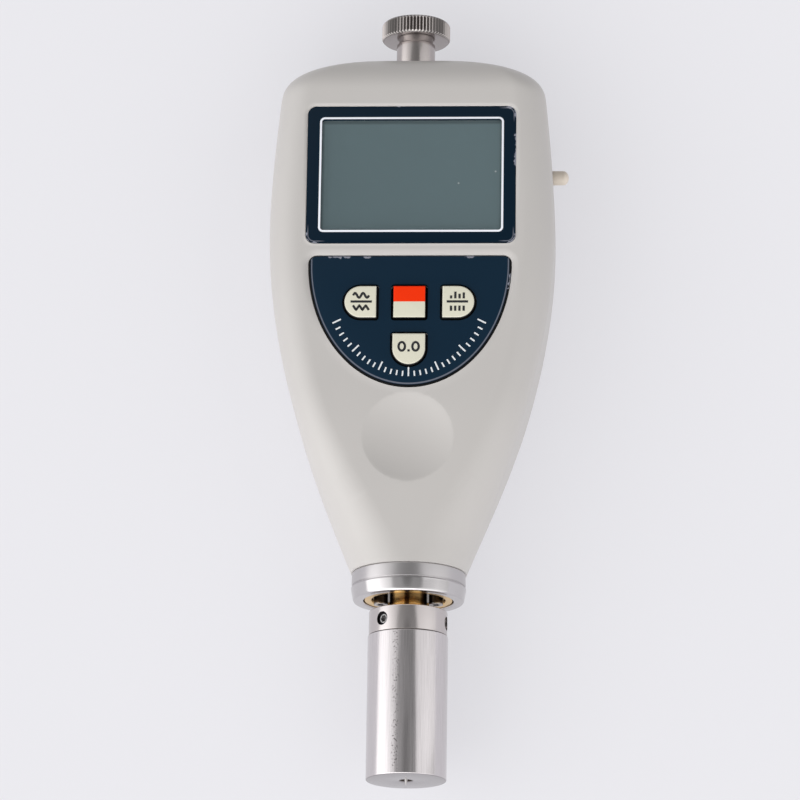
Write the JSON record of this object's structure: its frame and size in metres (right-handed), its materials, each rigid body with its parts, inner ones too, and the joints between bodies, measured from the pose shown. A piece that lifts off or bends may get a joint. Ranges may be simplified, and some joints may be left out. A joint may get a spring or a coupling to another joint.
{
  "type": "surface profile gauge",
  "caption": "Hand-held digital gauge for surface roughness depth: moulded housing with display and keypad, knurled screw on top, steel foot with a sprung needle below.",
  "frame": {"origin": "on the flat back, under the middle of the housing", "axes": "+Z out of the display, +Y along the gauge towards the thumb screw, +X to the right"},
  "size_m": [0.0681, 0.1794, 0.0286],
  "materials": {
    "housing_plastic": "satin moulded",
    "window_print": "printed window",
    "plate_print": "printed plate",
    "display_glass": "unlit display",
    "key_plastic": "satin",
    "power_key_plastic": "satin, two colours",
    "plug_plastic": "satin",
    "dark_plastic": "matte",
    "board": "solder mask",
    "cell_jacket": "printed jacket",
    "steel": "plain",
    "black_steel": "blackened",
    "knurled_steel": "turned and knurled",
    "polished_steel": "ground and polished",
    "turned_aluminium": "turned",
    "brass": "turned",
    "copper_wire": "enamelled"
  },
  "bodies": {
    "housing": {"front_shell": "housing_plastic", "rear_shell": "housing_plastic", "housing_screws": "steel", "display_window": "window_print", "display_panel": "display_glass", "display_holder": "dark_plastic", "keypad_plate": "plate_print", "main_board": "board", "controller_chip": "dark_plastic", "key_switches": "dark_plastic", "board_screws": "steel", "battery_cells": "cell_jacket", "spring_contacts": "steel", "plain_contacts": "steel", "data_jack": "dark_plastic", "screw_insert": "brass", "collar": "turned_aluminium", "collar_nut": "turned_aluminium", "brass_ring": "brass", "base_plate": "turned_aluminium", "base_screws": "steel", "brass_stem": "brass", "clamp_ring": "polished_steel", "set_screws": "steel", "probe_body": "polished_steel", "front_bush": "brass", "rear_bush": "brass", "sensor_tube": "turned_aluminium", "coil_former": "dark_plastic", "coil_winding": "copper_wire", "return_spring": "steel", "tube_plug": "turned_aluminium"},
    "door": {"battery_door": "housing_plastic"},
    "unit_button": {"unit_key": "key_plastic"},
    "power_button": {"power_key": "power_key_plastic"},
    "average_button": {"average_key": "key_plastic"},
    "zero_button": {"zero_key": "key_plastic"},
    "needle": {"needle_tip": "polished_steel", "spindle": "steel", "sensor_core": "black_steel"},
    "screw": {"thumb_screw": "knurled_steel"},
    "plug": {"dust_plug": "plug_plastic"}
  },
  "joints": [
    {"name": "door_slide", "type": "slide", "parent": "housing", "child": "door", "axis": [0, 1, 0], "range_m": [0, 0.05]},
    {"name": "unit_press", "type": "slide", "parent": "housing", "child": "unit_button", "axis": [0, 0, -1], "range_m": [0, 0.0005], "stiffness_N_per_m": 1200},
    {"name": "power_press", "type": "slide", "parent": "housing", "child": "power_button", "axis": [0, 0, -1], "range_m": [0, 0.0005], "stiffness_N_per_m": 1200},
    {"name": "average_press", "type": "slide", "parent": "housing", "child": "average_button", "axis": [0, 0, -1], "range_m": [0, 0.0005], "stiffness_N_per_m": 1200},
    {"name": "zero_press", "type": "slide", "parent": "housing", "child": "zero_button", "axis": [0, 0, -1], "range_m": [0, 0.0005], "stiffness_N_per_m": 1200},
    {"name": "needle_slide", "type": "slide", "parent": "housing", "child": "needle", "axis": [0, 1, 0], "range_m": [0, 0.0009], "stiffness_N_per_m": 300, "deforming": ["return_spring"]},
    {"name": "screw_turn", "type": "hinge", "parent": "housing", "child": "screw", "pos_m": [0, 0.065, 0.014], "axis": [0, 1, 0], "continuous": true},
    {"name": "plug_pull", "type": "slide", "parent": "housing", "child": "plug", "axis": [1, 0, 0], "range_m": [0, 0.012]}
  ]
}
